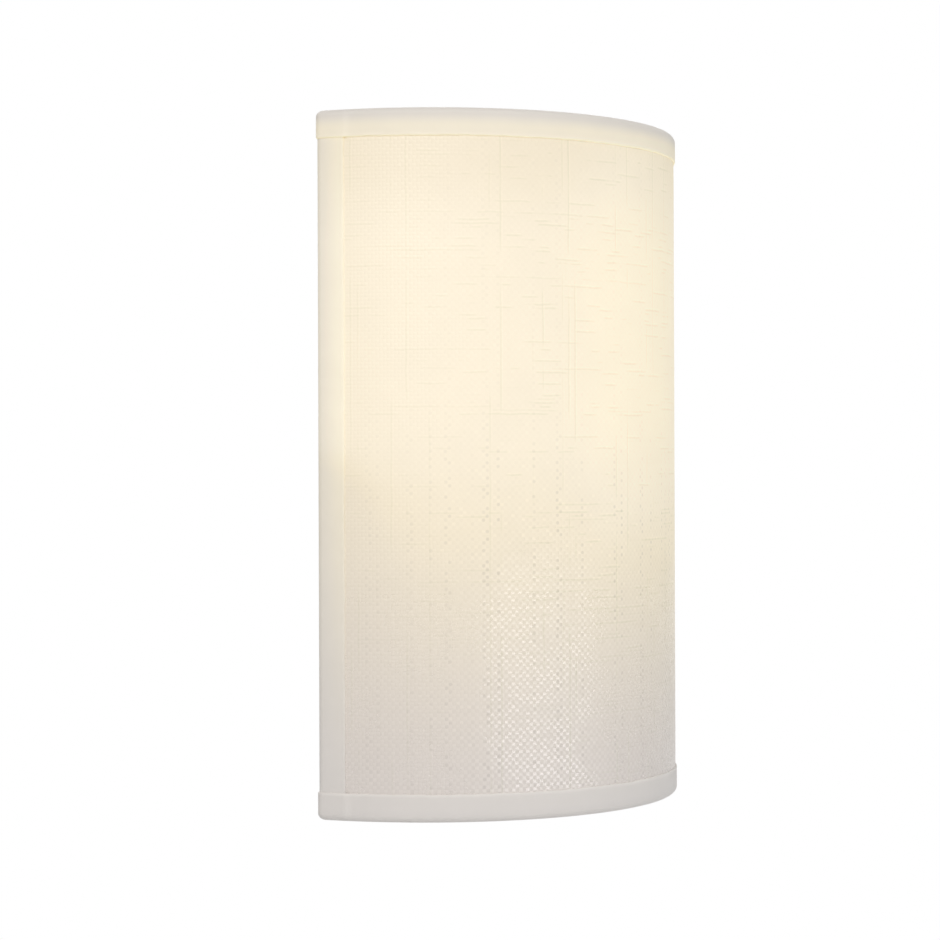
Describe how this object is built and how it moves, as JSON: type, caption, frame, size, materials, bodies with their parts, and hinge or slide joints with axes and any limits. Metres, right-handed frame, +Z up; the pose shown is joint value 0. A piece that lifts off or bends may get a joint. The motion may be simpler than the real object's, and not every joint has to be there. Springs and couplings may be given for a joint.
{
  "type": "part-drum wall lamp",
  "caption": "Wall lamp with an upright part-drum linen shade, open at the top, bottom and back, over a lampholder on a wall pan with a support arm.",
  "frame": {"origin": "centre of the wall bracket's back face, on the wall, at half the height of the shade", "axes": "+Y into the wall, +Z up, +X to the right for someone facing the wall"},
  "size_m": [0.222, 0.0994, 0.3],
  "materials": {
    "linen": "plain weave with slubs",
    "hem_tape": "fine weave",
    "liner": "smooth film",
    "frame_wire": "white coating",
    "white_steel": "satin powder coat",
    "zinc_steel": "zinc plate",
    "nickel": "bright nickel",
    "holder_plastic": "moulded",
    "holder_ceramic": "glazed core",
    "contact_brass": "plain",
    "bulb_opal": "frosted",
    "bulb_body": "moulded",
    "bulb_metal": "rolled thread",
    "bulb_black": "glass seal",
    "block_plastic": "moulded",
    "lead_brown": "insulation",
    "lead_blue": "insulation",
    "lead_earth": "green and yellow insulation",
    "black_rubber": "moulded"
  },
  "bodies": {
    "base": {"wall_bracket": "zinc_steel", "bracket_studs": "zinc_steel", "cap_nuts": "nickel", "wall_pan": "white_steel", "support_arm": "white_steel", "arm_rivets": "nickel", "clinch_nuts": "zinc_steel", "holder_skirt": "holder_plastic", "holder_ring": "holder_plastic", "holder_cap": "holder_plastic", "holder_core": "holder_ceramic", "holder_shell": "contact_brass", "holder_contact": "contact_brass", "terminal_block": "block_plastic", "terminal_tubes": "contact_brass", "terminal_screws": "zinc_steel", "block_screw": "zinc_steel", "lead_grommet": "black_rubber", "live_lead": "lead_brown", "neutral_lead": "lead_blue", "earth_lead": "lead_earth", "earth_tag": "contact_brass", "earth_washer": "zinc_steel", "earth_screw": "zinc_steel"},
    "shade": {"shade_cloth": "linen", "shade_liner": "liner", "top_hem": "hem_tape", "bottom_hem": "hem_tape", "left_hem": "hem_tape", "right_hem": "hem_tape", "top_ring": "frame_wire", "bottom_ring": "frame_wire", "top_rail": "frame_wire", "bottom_rail": "frame_wire", "left_post": "frame_wire", "right_post": "frame_wire", "left_tab": "frame_wire", "right_tab": "frame_wire"},
    "left_thumbscrew": {"left_thumbscrew": "nickel"},
    "right_thumbscrew": {"right_thumbscrew": "nickel"},
    "bulb_tip": {"bulb_tip": "contact_brass"},
    "bulb": {"bulb_insulator": "bulb_black", "bulb_cap": "bulb_metal", "bulb_housing": "bulb_body", "bulb_globe": "bulb_opal"}
  },
  "joints": [
    {"name": "shade_pull", "type": "slide", "parent": "base", "child": "shade", "axis": [0, -1, 0], "range_m": [0, 0.11]},
    {"name": "left_thumbscrew_turn", "type": "hinge", "parent": "base", "child": "left_thumbscrew", "pos_m": [-0.09294, -0.01, 0.012], "axis": [0, 0, 1], "range_deg": [0, 720]},
    {"name": "right_thumbscrew_turn", "type": "hinge", "parent": "base", "child": "right_thumbscrew", "pos_m": [0.09294, -0.01, 0.012], "axis": [0, 0, 1], "range_deg": [0, 720]},
    {"name": "bulb_rise", "type": "slide", "parent": "base", "child": "bulb_tip", "axis": [0, 0, 1], "range_m": [0, 0.01824]},
    {"name": "bulb_turn", "type": "hinge", "parent": "bulb_tip", "child": "bulb", "pos_m": [0, -0.056, 0], "axis": [0, 0, 1], "range_deg": [0, 1800]}
  ],
  "couplings": [
    {"joint": "bulb_rise", "follows": "bulb_turn", "m_per_rad": 0.00057757}
  ]
}
